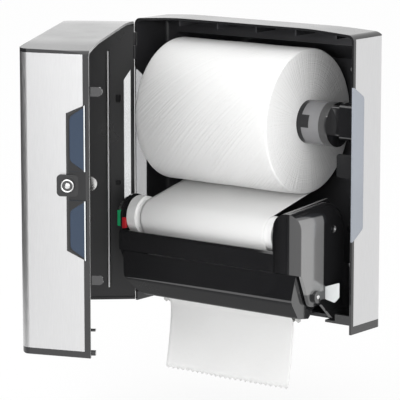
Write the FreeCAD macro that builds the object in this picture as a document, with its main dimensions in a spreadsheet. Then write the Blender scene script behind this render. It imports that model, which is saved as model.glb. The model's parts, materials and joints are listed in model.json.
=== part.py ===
import FreeCAD, Part
import os
import re
import Sketcher
from math import acos, atan2, cos, sin
from FreeCAD import Placement, Rotation, Vector

# Wall-mounted mechanical roll towel dispenser with its door standing open.
# X runs to the right, Y towards the wall and Z up. Every height is measured from the
# bottom of the housing, and the finished pieces are then lowered so that the origin is
# the centre of the four wall screws. The door is drawn shut and swung open at the end.

doc = FreeCAD.newDocument("towel_dispenser")
sheet = doc.addObject("Spreadsheet::Sheet", "Size")
sizes = {
    # housing
    "width": 350, "height": 385, "back_depth": 126, "band_depth": 68,
    "wall": 3, "skin": 0.8, "crown_half": 110, "crown_drop": 4.5, "crown_round": 600,
    "corner": 9, "rear_round": 20, "rear_side_round": 8, "step": 10, "hip_round": 16,
    "rear_half": 126, "rear_low": 25, "rear_high": 335, "floor_high": 12,
    "floor_open_half": 135, "floor_open_back": 98, "rib_pitch": 62, "rib_deep": 8,
    "rib_thick": 2, "rib_first": -104, "rib_count": 5,
    # wall screws
    "screw_x": 180, "screw_z": 260, "screw_low": 60, "screw_hole": 3, "mount_height": 190,
    # stainless skins and side windows
    "skin_low": 10.5, "skin_high": 375.5, "skin_front_gap": 5,
    "window_mid": 217.5, "window_half": 98, "window_flat_half": 84, "window_deep": 24.5,
    "window_door_deep": 29.5, "hinge_window_deep": 17, "window_rim": 3, "pane": 2,
    # door
    "door_depth": 89, "door_lean": 18, "door_bow": 2.5, "door_gap": 0.3, "door_low": 2,
    "door_drop": 4, "door_corner": 13, "door_round": 8, "door_bow_round": 6000, "door_rim": 5, "door_open": 60, "door_skin_gap": 8,
    "hinge_low": 24, "hinge_high": 326, "hinge_long": 36, "knuckle": 3.2, "pin": 1.5,
    "running": 0.1, "clearance": 0.3,
    # lock and latches
    "lock_drop": 48.5, "lock_in": 27.6, "plate_below": 18, "plate_above": 17.5,
    "plate_side": 26.5, "plate_round": 5, "barrel": 8.7, 
    "cam_long": 33, "cam_wide": 17, "cam_thick": 2.5, "lock_core": 6, "keeper_gap": 1.2,
    "hook_long": 15, "hook_tall": 11.5, "hook_thick": 3, "hook_upper": 328, "hook_lower": 98,
    # towel roll and its holders
    "roll_radius": 94, "roll_long": 210, "roll_shift": -17, "roll_back": 98, "roll_high": 262.5,
    "core_radius": 20.5, "core_wall": 1.5, "hub_radius": 28, "spigot_long": 24,
    "head_radius": 28.7, "head_thick": 12, "holder_reach": 50, "axle_long": 16, "axle_radius": 6, "arm_tall": 46, "arm_low": 246,
    "arm_deep": 40, "slide_range": 12, "box_wall": 3, "box_round": 6, "box_overlap": 8,
    # feed unit
    "feed_margin_left": 21, "feed_margin_right": 15, "feed_front": 196, "side_thick": 3,
    "drum_front": 166, "drum_high": 127, "drum_radius": 21.8, "flange_radius": 25.6,
    "drum_axle_radius": 4, "wheel_radius": 23, "side_round": 27, "wheel_thick": 7,
    "gearbox_wide": 43, "gearbox_top": 160, "gearbox_boss_front": 122, "gearbox_boss_high": 133,
    "gearbox_round": 35, "arch_round": 20, "gearbox_low": 60, "seam": 83.5, "cover_top": 109.6, "cover_thick": 3, "cover_lip": 190.4,
    "recess": 1.5, "recess_front": 141, "recess_top": 146,
    "nip_front": 184.8, "nip_high": 101, "nip_radius": 5.8, "nip_shaft": 2.5,
    "tooth": 8, "tooth_count": 28,
    # push bar
    "bar_nose_front": 206, "bar_nose_high": 51, "bar_low": 26, "bar_wall": 3, "bar_gap_right": 7.5,
    "bar_gap_left": 4, "pivot_front": 163, "pivot_high": 52.5, "pivot_radius": 4,
    "pivot_head": 8, "bar_gap": 0.5,
    # paper
    "paper": 0.5, "paper_gap": 0.4, "exit_front": 124, "exit_high": 5, "tail_low": -86,
    "tail_front": 134, "tail_teeth": 25,
    # small features of the housing
    "taper_fall": 2, "rib_front": 6, "block_gap": 4, "block_deep": 4, "block_tall": 12, "window_round": 6,
    "pane_set": 0.2, "keeper_long": 26, "keeper_half": 15, "keeper_thick": 2.5, "keeper_round": 4,
    "keeper_foot": 14, "keeper_base": 2,
    # small features of the door
    "lug_near": 18, "lug_far": 24, "lug_reach": 7, "lug_upper": 269, "lug_upper_tall": 10, "lug_lower": 158,
    "lug_lower_tall": 6, "stile_in": 33, "stile_half": 1, "stile_reach": 8, "stile_low": 20, "stile_high": 338,
    "clip_reach": 6, "clip_gap": 0.4, "clip_front": 4, "clip_back": 5, "clip_low": 3, "clip_rise": 1.5,
    "clip_upper": 35, "clip_thick": 2.4, "door_pane_set": 0.5, "plate_proud": 2.5, "ring_proud": 2,
    "plug_back": 10, "slot_half": 3.2, "slot_thick": 0.6, "slot_deep": 4, "hook_back": 10, "foot_back": 14,
    "foot_front": 2,
    # small features of the roll holders and the feed unit
    "hub_gap_left": 9, "bore_spare": 2, "leg_front": 12, "leg_back": 13, "leg_fall": 12, "leg_round": 10,
    "leg_heel": 8, "plate_shoulder": 17, "shoulder_round": 12, "leg_thick": 5, "recess_round": 12,
    "recess_low": 30, "recess_back": 5, "well_radius": 5, "well_deep": 7, "screw_radius": 3.4, "screw_tall": 4,
    "cover_slant": 2.8, "lip_thick": 2, "tray_gap": 9, "tray_nose_in": 154, "tray_nose_out": 157, "tray_nose_drop": 3.5, "tray_rim_drop": 4.5,
    "tray_fold_in": 6, "tray_fold_out": 3, "tray_skirt": 3.2, "tray_front": 121, "blade_reach": 8, "blade_tall": 9,
    "blade_thick": 0.8, "tooth_deep": 2.5, "tab_wide": 5, "green_low": 114, "green_tall": 21.5, "green_deep": 3.4,
    "red_low": 112, "red_tall": 14, "red_deep": 4, "flag_front": 142, "flag_thick": 2.5, "flag_reach": 20,
    "flag_low": 43, "flag_high": 69, "drum_end": 6, "flange_gap": 1.5, "sleeve_gap": 5,
    # small features of the push bar and the paper
    "bar_inset": 1.6, "bar_floor": 3.8, "bar_nose_in": 3.2, "bar_nose_rise": 0.3, "heel_rise": 1, "heel_fall": 2,
    "heel_corner": 4, "cut_reach": 32, "cut_bend": 21, "cut_rise": 9, "cut_low": 27, "cut_mid": 33, "cut_high": 50,
    "cut_round": 10, "cut_bow": 16, "cut_back": 171, "nose_round": 12, "heel_back": 16, "heel_front": 168, "heel_round": 8, "cheek_back": 10, "cheek_low": 14,
    "cheek_round": 8, "cheek_front": 180, "head_proud": 4, "web_margin": 4, "tail_margin": 5, "fold_round": 20,
    "fold_run": 12,
}
tied = {
    "roll_left": "roll_shift - roll_long / 2", "roll_right": "roll_shift + roll_long / 2",
    "head_at": "width / 2 - wall - holder_reach", "lock_mid": "roll_high - lock_drop",
    "lock_plate_low": "lock_mid - plate_below", "lock_plate_high": "lock_mid + plate_above",
    "feed_left": "feed_margin_left - roll_left", "feed_right": "roll_right + feed_margin_right + gearbox_wide",
    "bar_end": "feed_right - bar_gap_right", "bar_left_end": "feed_left - bar_gap_left",
}
for row, (name, value) in enumerate(list(sizes.items()) + list(tied.items())):
    sheet.set("A%d" % (row + 1), str(value) if name in sizes else "=" + value)
    sheet.setAlias("A%d" % (row + 1), name)
doc.recompute()
alias = re.compile(r"\b(%s)\b" % "|".join(list(sizes) + list(tied)))


def bound(text):
    return alias.sub(r"Size.\1", str(text))


def number(text):
    value = sheet.evalExpression(bound(text))
    return float(getattr(value, "Value", value))


def outline(sketch, points):
    # closed profile of straight sides: each point is (across, up) or (across, up, rounding)
    spots = [Vector(number(p[0]), number(p[1]), 0) for p in points]
    count = len(spots)
    starts, ends, arcs = [], [], []
    for i, here in enumerate(spots):
        before, after = spots[i - 1], spots[(i + 1) % count]
        if len(points[i]) < 3:
            starts.append(here)
            ends.append(here)
            arcs.append(None)
            continue
        radius = number(points[i][2])
        a, b = (before - here).normalize(), (after - here).normalize()
        reach = radius * (1 + a.dot(b)) / a.cross(b).Length
        middle = here + (a + b).normalize() * (radius / ((1 - a.dot(b)) / 2) ** 0.5)
        turn = (here - before).cross(after - here).z
        first, last = here + a * reach, here + b * reach
        low, high = (first, last) if turn > 0 else (last, first)
        circle = Part.Circle(middle, Vector(0, 0, 1), radius)
        arcs.append((Part.ArcOfCircle(circle, circle.parameter(low),
                                      circle.parameter(high)), turn > 0))
        ends.append(first)
        starts.append(last)
    first = sketch.GeometryCount
    lines = [sketch.addGeometry(Part.LineSegment(starts[i], ends[(i + 1) % count]))
             for i in range(count)]
    rules, named = [], []

    def rule(text, *where):
        if text is not None:
            named.append((sketch.ConstraintCount + len(rules), text))
            where = where + (number(text),)
        rules.append(Sketcher.Constraint(*where))

    for i, point in enumerate(points):
        into, out = lines[i - 1], lines[i]
        if arcs[i] is None:
            rule(None, "Coincident", into, 2, out, 1)
            rule(point[0], "DistanceX", -1, 1, out, 1)
            rule(point[1], "DistanceY", -1, 1, out, 1)
            continue
        arc = sketch.addGeometry(arcs[i][0])
        tip = sketch.addGeometry(Part.Point(spots[i]), True)
        near, far = (1, 2) if arcs[i][1] else (2, 1)
        rule(None, "Tangent", into, 2, arc, near)
        rule(None, "Tangent", arc, far, out, 1)
        rule(None, "PointOnObject", tip, 1, into)
        rule(None, "PointOnObject", tip, 1, out)
        rule(point[0], "DistanceX", -1, 1, tip, 1)
        rule(point[1], "DistanceY", -1, 1, tip, 1)
        rule(point[2], "Radius", arc)
    sketch.addConstraint(rules)
    for index, text in named:
        sketch.setExpression("Constraints[%d]" % index, bound(text))


def ring(sketch, across, up, radius):
    disc = sketch.addGeometry(Part.Circle(Vector(number(across), number(up), 0), Vector(0, 0, 1),
                                          number(radius)))
    for text, where in ((across, ("DistanceX", -1, 1, disc, 3)), (up, ("DistanceY", -1, 1, disc, 3)),
                        (radius, ("Radius", disc))):
        index = sketch.addConstraint(Sketcher.Constraint(*(where + (number(text),))))
        sketch.setExpression("Constraints[%d]" % index, bound(text))


def draw(sketch, shapes):
    # a profile that starts with "ring" is a circle, any other is a chain of straight sides
    for shape in shapes:
        if shape[0] == "ring":
            ring(sketch, *shape[1:])
        else:
            outline(sketch, shape)


TURNS = {"XY": Rotation(), "XZ": Rotation(Vector(1, 0, 0), 90), "YZ": Rotation(Vector(1, 1, 1), 120)}
AXES = {"XY": ("z", 1), "XZ": ("y", -1), "YZ": ("x", 1)}


def prism(plane, shapes, low, high):
    # loose profile pulled along the third axis from low to high
    sketch = doc.addObject("Sketcher::SketchObject", "profile")
    draw(sketch, shapes)
    axis, way = AXES[plane]
    sketch.Placement = Placement(Vector(), TURNS[plane])
    sketch.setExpression("Placement.Base." + axis, bound(low if way > 0 else high))
    solid = doc.addObject("Part::Extrusion", "prism")
    solid.Base = sketch
    solid.DirMode = "Normal"
    solid.Solid = True
    solid.setExpression("LengthFwd", bound("(%s) - (%s)" % (high, low)))
    return solid


def join(kind, pieces):
    result = doc.addObject(kind, "joined")
    if kind == "Part::Cut":
        result.Base, result.Tool = pieces
    else:
        result.Shapes = pieces
    return result


def cut(base, *tools):
    tool = tools[0] if len(tools) == 1 else join("Part::MultiFuse", list(tools))
    return join("Part::Cut", [base, tool])


def fuse(*pieces):
    return join("Part::MultiFuse", list(pieces))


def common(*pieces):
    return join("Part::MultiCommon", list(pieces))


def body():
    return doc.addObject("PartDesign::Body", "body")


def profile(owner, plane, shapes, level):
    sketch = owner.newObject("Sketcher::SketchObject", "profile")
    for feature in owner.Origin.OriginFeatures:
        if feature.Role == plane + "_Plane":
            sketch.AttachmentSupport = (feature, [""])
    sketch.MapMode = "FlatFace"
    way = AXES[plane][1]
    sketch.setExpression("AttachmentOffset.Base.z", bound(level if way > 0 else "-(%s)" % level))
    draw(sketch, shapes)
    return sketch


def pad(owner, plane, shapes, low, high):
    feature = owner.newObject("PartDesign::Pad", "pad")
    feature.Profile = profile(owner, plane, shapes, low)
    feature.Reversed = AXES[plane][1] < 0
    feature.setExpression("Length", bound("(%s) - (%s)" % (high, low)))
    doc.recompute()
    return feature


def pocket(owner, plane, shapes, low, high):
    before = owner.Shape.Volume
    feature = owner.newObject("PartDesign::Pocket", "pocket")
    feature.Profile = profile(owner, plane, shapes, low)
    feature.Reversed = AXES[plane][1] > 0
    feature.setExpression("Length", bound("(%s) - (%s)" % (high, low)))
    doc.recompute()
    if owner.Shape.Volume > before - 1e-3:
        raise RuntimeError("a pocket cut nothing from " + owner.Name)
    return feature


def box(x0, x1, y0, y1, z0, z1):
    solid = doc.addObject("Part::Box", "block")
    for name, text in (("Length", "(%s) - (%s)" % (x1, x0)), ("Width", "(%s) - (%s)" % (y1, y0)),
                       ("Height", "(%s) - (%s)" % (z1, z0)), ("Placement.Base.x", x0),
                       ("Placement.Base.y", y0), ("Placement.Base.z", z0)):
        solid.setExpression(name, bound(text))
    return solid


def rod(axis, radius, low, high, a, b):
    # round bar along X with its centre at y = a, z = b, or along Z at x = a, y = b
    solid = doc.addObject("Part::Cylinder", "rod")
    solid.Placement = Placement(Vector(), Rotation(Vector(0, 1, 0), 90) if axis == "X" else Rotation())
    places = {"X": (low, a, b), "Z": (a, b, low)}[axis]
    for name, text in (("Radius", radius), ("Height", "(%s) - (%s)" % (high, low)),
                       ("Placement.Base.x", places[0]), ("Placement.Base.y", places[1]),
                       ("Placement.Base.z", places[2])):
        solid.setExpression(name, bound(text))
    return solid


pieces = {}


def finish(label, piece, on_door=False):
    piece.Label = label
    pieces[label] = piece
    if on_door:
        piece.Placement = Placement(Vector(), Rotation(Vector(0, 0, -1), 60))
        piece.setExpression("Placement.Rotation.Angle", bound("door_open"))
        piece.setExpression("Placement.Base.x", bound(
            "-width / 2 + width / 2 * cos(door_open) + back_depth * sin(door_open)"))
        piece.setExpression("Placement.Base.y", bound(
            "-back_depth - width / 2 * sin(door_open) + back_depth * cos(door_open)"))
    piece.setExpression("Placement.Base.z", bound("-mount_height"))
    return piece


# housing

parting = "-back_depth"
band_end = "-(back_depth - band_depth)"


def crowned(inset, low, top):
    # front view outline: flat middle, falling gently to rounded shoulders
    side = "width / 2 - (%s)" % inset
    foot = [("-(%s)" % side, low), (side, low)]
    shoulder = "corner - (%s)" % inset
    return foot + [(side, "%s - crown_drop" % top, shoulder), ("crown_half", top, "crown_round"),
                   ("-crown_half", top, "crown_round"), ("-(%s)" % side, "%s - crown_drop" % top, shoulder)]


def band(inset, low):
    top = "height - (%s)" % inset
    front = prism("XZ", [crowned(inset, low, top)], parting, band_end)
    plan = prism("XY", [[("-width / 2 + %s" % inset, parting), ("width / 2 - %s" % inset, parting),
                         ("width / 2 - %s" % inset, "%s - %s" % (band_end, inset), "rear_side_round - " + inset),
                         ("-width / 2 + %s" % inset, "%s - %s" % (band_end, inset), "rear_side_round - " + inset)]],
                 low, top)
    side = prism("YZ", [[(parting, low), ("%s - %s" % (band_end, inset), low),
                         ("%s - %s" % (band_end, inset), top, "rear_round - " + inset), (parting, top)]],
                 "-width / 2 + " + inset, "width / 2 - " + inset)
    return common(front, plan, side)


def rear(half_front, low_front, high_front, y_front, half_rear, low_rear, high_rear, y_rear, hips):
    # tapering back of the housing: plan and side wedges crossed, with rounded hips
    plan = prism("XY", [[("-(%s)" % half_front, y_front), (half_front, y_front), (half_rear, y_rear),
                         ("-(%s)" % half_rear, y_rear)]], "0", "height")
    side = prism("YZ", [[(y_front, low_front), (y_rear, low_rear), (y_rear, high_rear), (y_front, high_front)]],
                 "-width / 2", "width / 2")
    wedge = common(plan, side)
    doc.recompute()
    spots = [i + 1 for i, edge in enumerate(wedge.Shape.Edges)
             if min(abs(edge.Vertexes[0].X - edge.Vertexes[-1].X), abs(edge.Vertexes[0].Y - edge.Vertexes[-1].Y),
                    abs(edge.Vertexes[0].Z - edge.Vertexes[-1].Z)) > 1]
    rounded = doc.addObject("Part::Fillet", "hips")
    rounded.Base = wedge
    rounded.Edges = [(spot, number(hips), number(hips)) for spot in spots]
    return rounded


def half_hexagon(deep, inset, reach="1"):
    # side window outline on the housing: open at the parting edge, sloped at both ends
    return [("%s - %s" % (parting, reach), "window_mid - window_half + " + inset),
            ("%s + 2" % parting, "window_mid - window_half + " + inset),
            ("%s + %s - %s" % (parting, deep, inset), "window_mid - window_flat_half + " + inset, "window_round"),
            ("%s + %s - %s" % (parting, deep, inset), "window_mid + window_flat_half - " + inset, "window_round"),
            ("%s + 2" % parting, "window_mid + window_half - " + inset),
            ("%s - %s" % (parting, reach), "window_mid + window_half - " + inset)]


def side_skin(way):
    # one bent sheet: flat side and a quarter turn round the rear edge
    edge = "%s * width / 2" % way
    flat = "%s * (width / 2 - skin)" % way
    end = "%s * (width / 2 - rear_side_round - 1)" % way
    start = "%s + skin_front_gap" % parting
    return [(edge, start), (edge, band_end, "rear_side_round"), (end, band_end),
            (end, "%s - skin" % band_end), (flat, "%s - skin" % band_end, "rear_side_round - skin"),
            (flat, start)]


outer = fuse(band("0", "0"),
             rear("width / 2 - step", "step", "height - rear_round - taper_fall", "%s - wall" % band_end,
                  "rear_half", "rear_low", "rear_high", "0", "hip_round"))
cavity = fuse(
    common(band("wall", "floor_high + wall"),
           box("-width", "width", "%s - 1" % parting, "%s - wall" % band_end, "0", "height")),
    rear("width / 2 - step - wall", "floor_high + wall", "height - rear_round - taper_fall - wall",
         "%s - 2 * wall" % band_end, "rear_half - wall / 2", "rear_low + wall / 2", "rear_high - wall / 2",
         "-wall", "hip_round - wall"),
    box("-width / 2 + wall", "width / 2 - wall", "%s - 1" % parting, "%s - wall" % band_end, "-1", "floor_high"),
    box("-floor_open_half", "floor_open_half", "%s - 1" % parting, "-floor_open_back", "-1",
        "floor_high + wall + 1"))
shell = cut(outer, cavity)
ribs = []
for count in range(int(number("rib_count"))):
    middle = "rib_first + %d * rib_pitch" % count
    ribs.append(box(middle + " - rib_thick / 2", middle + " + rib_thick / 2", "%s + rib_front" % parting,
                    "%s - rear_round - 1" % band_end, "height - wall - rib_deep", "height - wall + 0.5"))
blocks = [box("feed_right + block_gap", "width / 2 - wall + 0.5", parting, parting + " + block_deep",
              "floor_high", "floor_high + block_tall"),
          box("-width / 2 + wall - 0.5", "-(feed_left + side_thick + block_gap)", parting, parting + " + block_deep",
              "floor_high", "floor_high + block_tall")]
knuckles, hollows, pins = [], [], []
hinge_x, hinge_y = "-width / 2", parting
for low in ("hinge_low", "hinge_high"):
    knuckles.append(rod("Z", "knuckle", low, low + " + hinge_long / 2", hinge_x, hinge_y))
    hollows.append(rod("Z", "knuckle + clearance", low + " + hinge_long / 2",
                       low + " + hinge_long + clearance", hinge_x, hinge_y))
    pins.append(rod("Z", "pin", low, low + " + hinge_long", hinge_x, hinge_y))
screws = prism("XZ", [("ring", "-screw_x / 2", "screw_low", "screw_hole"),
                      ("ring", "screw_x / 2", "screw_low", "screw_hole"),
                      ("ring", "-screw_x / 2", "screw_low + screw_z", "screw_hole"),
                      ("ring", "screw_x / 2", "screw_low + screw_z", "screw_hole")], "-wall - 2", "1")
windows = []
for way in ("1", "-1"):
    inside = "%s * (width / 2 - wall - 1)" % way
    seat = "%s * (width / 2 - pane - pane_set)" % way
    outside = "%s * (width / 2 + 1)" % way
    lows = (inside, seat) if way == "1" else (outside, outside)
    highs = (outside, outside) if way == "1" else (inside, seat)
    windows.append(prism("YZ", [half_hexagon("window_deep", "window_rim")], lows[0], highs[0]))
    windows.append(prism("YZ", [half_hexagon("window_deep", "0")], lows[1], highs[1]))
skin_beds = [prism("XY", [side_skin(way)], "skin_low", "skin_high") for way in ("1", "-1")]
finish("housing_shell", cut(fuse(cut(fuse(shell, *(ribs + blocks)), *(windows + skin_beds + hollows)),
                                 *knuckles), *(pins + [screws])))

for label, way in (("side_skin_right", "1"), ("side_skin_left", "-1")):
    sheetwork = body()
    pad(sheetwork, "XY", [side_skin(way)], "skin_low", "skin_high")
    edge = "%s * (width / 2 + 1)" % way
    back = "%s * (width / 2 - skin - 1)" % way
    pocket(sheetwork, "YZ", [half_hexagon("window_deep", "0")], back if way == "1" else edge,
           edge if way == "1" else back)
    finish(label, sheetwork)

for label, way in (("side_window_right", "1"), ("side_window_left", "-1")):
    pane = body()
    edge = "%s * (width / 2 - pane_set)" % way
    back = "%s * (width / 2 - pane_set - pane)" % way
    pad(pane, "YZ", [half_hexagon("window_deep", "0", "0")], back if way == "1" else edge,
        edge if way == "1" else back)
    finish(label, pane)

for label, low in (("hinge_pin_lower", "hinge_low"), ("hinge_pin_upper", "hinge_high")):
    finish(label, prism("XY", [("ring", hinge_x, hinge_y, "pin")], low, low + " + hinge_long"))

keeper = body()
keeper_y = "-(back_depth + lock_in - cam_long) + keeper_gap"
keeper_low, keeper_high = "lock_mid - keeper_half", "lock_mid + keeper_half"
pad(keeper, "XZ", [[("width / 2 - wall - keeper_long", keeper_low, "keeper_round"), ("width / 2 - wall", keeper_low),
                    ("width / 2 - wall", keeper_high), ("width / 2 - wall - keeper_long", keeper_high, "keeper_round")]],
    keeper_y, keeper_y + " + keeper_thick")
pad(keeper, "YZ", [[(keeper_y, keeper_low), (keeper_y + " + keeper_foot", keeper_low),
                    (keeper_y + " + keeper_foot", keeper_high), (keeper_y, keeper_high)]],
    "width / 2 - wall - keeper_base", "width / 2 - wall")
finish("lock_keeper", keeper)


# door, drawn shut

door_back, door_front = "-(back_depth + door_gap)", "-(back_depth + door_depth)"
door_top = "height - door_drop"


def door_plan(inset, back):
    side = "(width / 2 - (%s))" % inset
    rear = "(%s + door_lean * (%s + back_depth) / door_depth)" % (side, back)
    fore = "(%s - door_lean * (1 - (%s) / door_depth))" % (side, inset)
    return [("-" + rear, back), ("-" + fore, "%s + %s" % (door_front, inset), "door_corner - " + inset),
            ("0", "%s - door_bow + %s" % (door_front, inset), "door_bow_round"),
            (fore, "%s + %s" % (door_front, inset), "door_corner - " + inset), (rear, back)]


def door_solid(inset, low, back):
    top = "%s - (%s)" % (door_top, inset)
    reach = "%s - 20" % door_front
    front = prism("XZ", [crowned(inset, low, top)], reach, back)
    plan = prism("XY", [door_plan(inset, back)], low, top)
    side = prism("YZ", [[("%s - door_bow + %s" % (door_front, inset), low, "door_round - %s + 0.5" % inset), (back, low),
                         (back, top), ("%s - door_bow + %s" % (door_front, inset), top, "door_round - %s + 0.5" % inset)]],
                 "-width / 2", "width / 2")
    return common(front, plan, side)


def slope(way, depth, inset):
    # distance across the door's leaning side at a depth from the parting face
    return "%s * (width / 2 - door_lean * (%s) / door_depth - %s)" % (way, depth, inset)


def leaning(way, outside, inside, first, last, low, high):
    # slab that follows the leaning side of the door
    shape = [(slope(way, first, inside), "-back_depth - (%s)" % first),
             (slope(way, last, inside), "-back_depth - (%s)" % last),
             (slope(way, last, outside), "-back_depth - (%s)" % last),
             (slope(way, first, outside), "-back_depth - (%s)" % first)]
    return prism("XY", [shape if way == "1" else shape[::-1]], low, high)


def door_window(low, high, sloped_low, sloped_high, deep="window_door_deep"):
    near, far = "-(back_depth + door_rim)", "-(back_depth + %s - window_rim)" % deep
    fall = "window_half - window_flat_half"
    points = [(far, low + (" + " + fall if sloped_low else "")), (near, low)]
    points += [(near, high), (far, high + (" - (%s)" % fall if sloped_high else ""))]
    return prism("YZ", [points], "-width / 2 - 1" if deep == "hinge_window_deep" else "0",
                 "0" if deep == "hinge_window_deep" else "width / 2 + 1")


window_low, window_high = "window_mid - window_half + window_rim", "window_mid + window_half - window_rim"
hatch = door_window(window_low, window_high, True, True)
hinge_hatch = door_window(window_low, window_high, True, True, "hinge_window_deep")
door_cavity = door_solid("wall", "door_low + wall", door_back + " + 1")
bottom = common(prism("XY", [door_plan("door_rim", door_back + " + 1")], "door_low - 1", "door_low + wall + 1"),
                box("-width", "width", door_front + " + door_round + 1", door_back + " + 1", "-5", "height"))
extras = []
for low, tall in (("lug_upper", "lug_upper_tall"), ("lug_lower", "lug_lower_tall")):
    extras.append(box("-width / 2 + wall - 1", "-width / 2 + wall + lug_reach", "-back_depth - lug_far",
                      "-back_depth - lug_near", low, "%s + %s" % (low, tall)))
stile = "-width / 2 + wall + door_lean * stile_in / door_depth"
extras.append(box(stile + " - 1", stile + " + stile_reach", "-back_depth - stile_in - stile_half",
                  "-back_depth - stile_in + stile_half", "stile_low", "stile_high"))
for low, high in (("door_low + clip_low", "floor_high - clip_rise"), ("clip_upper", "clip_upper + clip_thick")):
    extras.append(box("width / 2 - wall - clip_reach", "width / 2 - wall - clip_gap", "-back_depth - clip_front",
                      "-back_depth + clip_back", low, high))
door_knuckles, door_hollows, door_pins = [], [], []
for low in ("hinge_low", "hinge_high"):
    door_knuckles.append(rod("Z", "knuckle", low + " + hinge_long / 2 + clearance", low + " + hinge_long",
                             hinge_x, hinge_y))
    door_hollows.append(rod("Z", "knuckle + clearance", low + " - clearance",
                            low + " + hinge_long / 2 + clearance", hinge_x, hinge_y))
    door_pins.append(rod("Z", "pin + running", low + " - 1", low + " + hinge_long + 1", hinge_x, hinge_y))

lock_y = "-(back_depth + lock_in)"
plate_in, plate_out = slope("1", "lock_in", "2 * wall"), slope("1", "lock_in", "-plate_proud")


def square(size, rounding):
    signs = (("-", "-"), ("+", "-"), ("+", "+"), ("-", "+"))
    return [("%s %s %s" % (lock_y, a, size), "lock_mid %s %s" % (b, size), rounding) for a, b in signs]


plate_hole = prism("YZ", [square("plate_side / 2", "plate_round")], plate_in + " - 4", plate_out + " + 4")
skin_low_door, skin_high_door = "door_low + door_round", door_top + " - door_round"
start = "door_skin_gap"
skin_plan = [(slope("-1", start, "0"), "-back_depth - " + start)] + door_plan("0", "0")[1:4]
skin_plan += [(slope("1", start, "0"), "-back_depth - " + start), (slope("1", start, "skin"), "-back_depth - " + start)]
skin_plan += door_plan("skin", "0")[3:0:-1] + [(slope("-1", start, "skin"), "-back_depth - " + start)]
skin_bed = prism("XY", [skin_plan], skin_low_door, skin_high_door)
shell = cut(door_solid("0", "door_low", door_back), door_cavity, bottom)
finish("door_shell", cut(fuse(cut(fuse(shell, *extras), skin_bed, hatch, hinge_hatch, plate_hole, *door_hollows),
                              *door_knuckles), *door_pins), True)

def skin_opening(deep, first, last):
    return prism("YZ", [[("-(back_depth + %s)" % deep, "window_mid - window_flat_half"),
                         ("-back_depth + 1", "window_mid - window_half"),
                         ("-back_depth + 1", "window_mid + window_half"),
                         ("-(back_depth + %s)" % deep, "window_mid + window_flat_half")]], first, last)


finish("door_skin", cut(prism("XY", [skin_plan], skin_low_door, skin_high_door),
                        skin_opening("window_door_deep", "0", "width / 2 + 1"),
                        skin_opening("hinge_window_deep", "-width / 2 - 1", "0"), plate_hole), True)

for label, way, opening in (
        ("door_window_hinge", "-1", (window_low, window_high, True, True, "hinge_window_deep")),
        ("door_window_lower", "1", (window_low, "lock_plate_low", True, False)),
        ("door_window_upper", "1", ("lock_plate_high", window_high, False, True))):
    slab = leaning(way, "door_pane_set", "door_pane_set + pane", "0", "door_depth / 2", "0", "height")
    pane = common(slab, door_window(*opening))
    finish(label, pane if way == "-1" else cut(pane, plate_hole), True)
slab = leaning("1", "0", "wall", "0", "door_depth / 2", "0", "height")
finish("lock_plate", cut(common(slab, door_window("lock_plate_low", "lock_plate_high", False, False)), plate_hole),
       True)

lock = body()
pad(lock, "YZ", [square("plate_side / 2", "plate_round")], plate_in, plate_out)
pad(lock, "YZ", [("ring", lock_y, "lock_mid", "barrel")], plate_out, plate_out + " + ring_proud")
pocket(lock, "YZ", [("ring", lock_y, "lock_mid", "lock_core + running")], plate_in + " - 8", plate_out + " + 3")
finish("lock_escutcheon", lock, True)

plug = body()
pad(plug, "YZ", [("ring", lock_y, "lock_mid", "lock_core")], plate_in + " - plug_back",
    plate_out + " + ring_proud")
pocket(plug, "YZ", [[(lock_y + " - slot_thick", "lock_mid - slot_half"), (lock_y + " + slot_thick", "lock_mid - slot_half"),
                     (lock_y + " + slot_thick", "lock_mid + slot_half"),
                     (lock_y + " - slot_thick", "lock_mid + slot_half")]],
       plate_out + " - slot_deep", plate_out + " + ring_proud + 1")
finish("lock_cylinder", plug, True)

cam = body()
pad(cam, "YZ", [[(lock_y + " - cam_wide / 2", "lock_mid - cam_wide / 2"),
                 (lock_y + " + cam_long", "lock_mid - cam_wide / 2", "cam_wide / 2 - 0.1"),
                 (lock_y + " + cam_long", "lock_mid + cam_wide / 2", "cam_wide / 2 - 0.1"),
                 (lock_y + " - cam_wide / 2", "lock_mid + cam_wide / 2")]],
    plate_in + " - plug_back", plate_in + " - plug_back + cam_thick")
pocket(cam, "YZ", [("ring", lock_y, "lock_mid", "lock_core")], plate_in + " - plug_back - 1",
       plate_in + " - plug_back + cam_thick + 1")
finish("lock_cam", cam, True)

for label, middle in (("latch_hook_upper", "hook_upper"), ("latch_hook_lower", "hook_lower")):
    hook = prism("YZ", [[("-back_depth - hook_back", middle + " - hook_tall / 2"),
                         ("-back_depth + hook_long", middle + " - hook_tall / 2", "hook_tall / 2 - 0.1"),
                         ("-back_depth + hook_long", middle + " + hook_tall / 2", "hook_tall / 2 - 0.1"),
                         ("-back_depth - hook_back", middle + " + hook_tall / 2")]],
                 "width / 2 - 3 * wall", "width / 2 - 3 * wall + hook_thick")
    foot = box("width / 2 - 3 * wall", "width / 2", "-back_depth - foot_back", "-back_depth - foot_front",
               middle + " - hook_tall / 2", middle + " + hook_tall / 2")
    finish(label, fuse(hook, common(foot, door_cavity)), True)


# towel roll

roll_y, roll_z = "-roll_back", "roll_high"
roll_left, roll_right = "roll_left", "roll_right"


def stack(label, y, z, steps, bores=()):
    # round piece along X made of steps, each (radius, from, to)
    owner = body()
    for radius, low, high in steps:
        pad(owner, "YZ", [("ring", y, z, radius)], low, high)
    for radius, low, high in bores:
        pocket(owner, "YZ", [("ring", y, z, radius)], low, high)
    return finish(label, owner)


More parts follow.
